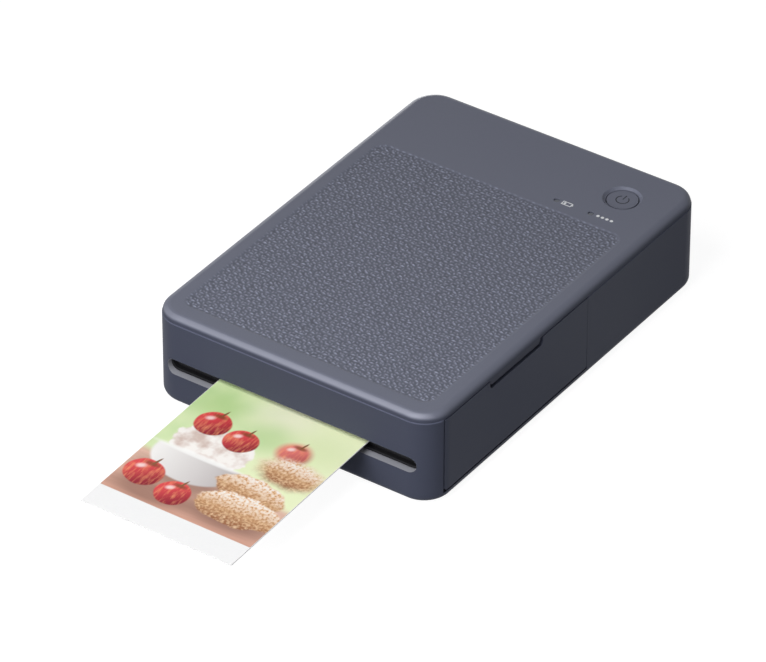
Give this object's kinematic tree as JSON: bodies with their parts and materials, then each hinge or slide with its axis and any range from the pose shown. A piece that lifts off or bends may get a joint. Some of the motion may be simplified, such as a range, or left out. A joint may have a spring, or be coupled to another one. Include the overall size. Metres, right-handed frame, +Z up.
{
  "type": "compact photo printer",
  "caption": "Compact dye-sublimation photo printer: flat rounded casing, textured lid, hinged side door and base hatch, ribbon cassette, gear-driven rollers and a print leaving the front slot.",
  "frame": {"origin": "centre of the casing's footprint, on the surface the feet stand on", "axes": "+X to the right side with the door, +Y to the rear, -Y out of the exit slot, +Z up"},
  "size_m": [0.1022, 0.2126, 0.0329],
  "materials": {
    "case_plastic": "fine matt",
    "cover_plastic": "fine matt with relief",
    "door_plastic": "fine matt",
    "black_plastic": "matt",
    "cassette_plastic": "satin",
    "gear_plastic": "satin",
    "window_plastic": "clear gloss",
    "steel": "brushed",
    "motor_steel": "zinc plated",
    "brass": "turned",
    "alloy": "extruded",
    "roller_rubber": "ground",
    "foot_rubber": "matt",
    "head_ceramic": "glazed edge",
    "paper": "glossy photo paper",
    "board": "solder mask",
    "ribbon_film": "dye film",
    "battery_wrap": "shrink wrap",
    "flex": "polyimide"
  },
  "bodies": {
    "case": {"lower_case": "case_plastic", "top_cover": "cover_plastic", "door_hinge_pins": "steel", "slot_throat": "black_plastic", "hatch_hinge_pins": "steel", "rubber_feet": "foot_rubber", "case_screws": "steel", "power_switch": "black_plastic", "lamp_windows": "window_plastic", "left_side_plate": "steel", "right_side_plate": "steel", "head_bridge": "steel", "feed_motor": "motor_steel", "head_pivot_shaft": "steel", "cassette_shell": "cassette_plastic", "ink_ribbon": "ribbon_film", "feed_ramp": "black_plastic", "pickup_motor": "motor_steel", "battery_pack": "battery_wrap", "main_board": "board", "usb_socket": "steel", "head_cable": "flex"},
    "door": {"side_door": "door_plastic", "door_latch": "black_plastic"},
    "hatch": {"paper_hatch": "case_plastic"},
    "tray": {"lift_plate": "steel", "paper_stack": "paper"},
    "button": {"power_button": "cover_plastic"},
    "sheet": {"printed_sheet": "paper"},
    "platen": {"platen_roller": "roller_rubber", "platen_shaft": "steel", "platen_gear": "gear_plastic"},
    "grip": {"grip_roller": "roller_rubber", "grip_shaft": "steel", "grip_gear": "gear_plastic"},
    "pinch": {"pinch_roller": "steel"},
    "roller_idler": {"roller_idler_gear": "gear_plastic"},
    "drive_idler": {"drive_idler_gear": "gear_plastic"},
    "motor_rotor": {"motor_pinion": "brass"},
    "takeup": {"takeup_spool": "ribbon_film", "takeup_gear": "gear_plastic"},
    "supply": {"supply_spool": "ribbon_film"},
    "pickup": {"pickup_roller": "roller_rubber", "pickup_shaft": "steel"},
    "head": {"print_head": "head_ceramic", "head_bracket": "steel", "head_heat_sink": "alloy"}
  },
  "joints": [
    {"name": "door_hinge", "type": "hinge", "parent": "case", "child": "door", "pos_m": [0.0489, -0.0285, 0.0064], "axis": [0, 1, 0], "range_deg": [0, 90]},
    {"name": "hatch_hinge", "type": "hinge", "parent": "case", "child": "hatch", "pos_m": [0, 0.0682, 0.0021], "axis": [1, 0, 0], "range_deg": [0, 90]},
    {"name": "tray_lift", "type": "hinge", "parent": "hatch", "child": "tray", "pos_m": [0, 0.0648, 0.0039], "axis": [-1, 0, 0], "range_deg": [0, 0.5]},
    {"name": "button_press", "type": "slide", "parent": "case", "child": "button", "axis": [0, 0, -1], "range_m": [0, 0.0006], "stiffness_N_per_m": 400, "springref_m": -0.0005},
    {"name": "platen_spin", "type": "hinge", "parent": "case", "child": "platen", "pos_m": [0, -0.036, 0.01202], "axis": [1, 0, 0], "range_deg": [-700, 260]},
    {"name": "grip_spin", "type": "hinge", "parent": "case", "child": "grip", "pos_m": [0, -0.061, 0.01119], "axis": [1, 0, 0], "range_deg": [-701, 261]},
    {"name": "roller_idler_spin", "type": "hinge", "parent": "case", "child": "roller_idler", "pos_m": [0, -0.04855, 0.01314], "axis": [1, 0, 0], "range_deg": [-238, 638]},
    {"name": "drive_idler_spin", "type": "hinge", "parent": "case", "child": "drive_idler", "pos_m": [0, -0.023, 0.01431], "axis": [1, 0, 0], "range_deg": [-218, 585]},
    {"name": "motor_spin", "type": "hinge", "parent": "case", "child": "motor_rotor", "pos_m": [0, -0.0122, 0.01431], "axis": [1, 0, 0], "range_deg": [-1168, 435]},
    {"name": "takeup_spin", "type": "hinge", "parent": "case", "child": "takeup", "pos_m": [0, -0.05032, 0.02318], "axis": [1, 0, 0], "range_deg": [-1168, 435]},
    {"name": "supply_spin", "type": "hinge", "parent": "case", "child": "supply", "pos_m": [0, -0.01392, 0.02318], "axis": [1, 0, 0], "range_deg": [-249, 668]},
    {"name": "pinch_spin", "type": "hinge", "parent": "case", "child": "pinch", "pos_m": [0, -0.061, 0.0181], "axis": [1, 0, 0], "range_deg": [-417, 1121]},
    {"name": "sheet_feed", "type": "slide", "parent": "case", "child": "sheet", "axis": [0, -0.9995, -0.0332], "range_m": [-0.05, 0.02]},
    {"name": "pickup_spin", "type": "hinge", "parent": "case", "child": "pickup", "pos_m": [0, 0.02, 0.0107], "axis": [1, 0, 0], "continuous": true},
    {"name": "head_lift", "type": "hinge", "parent": "case", "child": "head", "pos_m": [0, -0.02232, 0.0286], "axis": [-1, 0, 0], "range_deg": [0, 10]}
  ],
  "couplings": [
    {"joint": "grip_spin", "follows": "platen_spin", "ratio": 1},
    {"joint": "roller_idler_spin", "follows": "platen_spin", "ratio": -0.90909},
    {"joint": "drive_idler_spin", "follows": "platen_spin", "ratio": -0.83333},
    {"joint": "motor_spin", "follows": "platen_spin", "ratio": 1.6667},
    {"joint": "takeup_spin", "follows": "platen_spin", "ratio": 1.6667},
    {"joint": "supply_spin", "follows": "platen_spin", "ratio": -0.95238},
    {"joint": "pinch_spin", "follows": "platen_spin", "ratio": -1.6},
    {"joint": "sheet_feed", "follows": "platen_spin", "m_per_rad": 0.004}
  ]
}
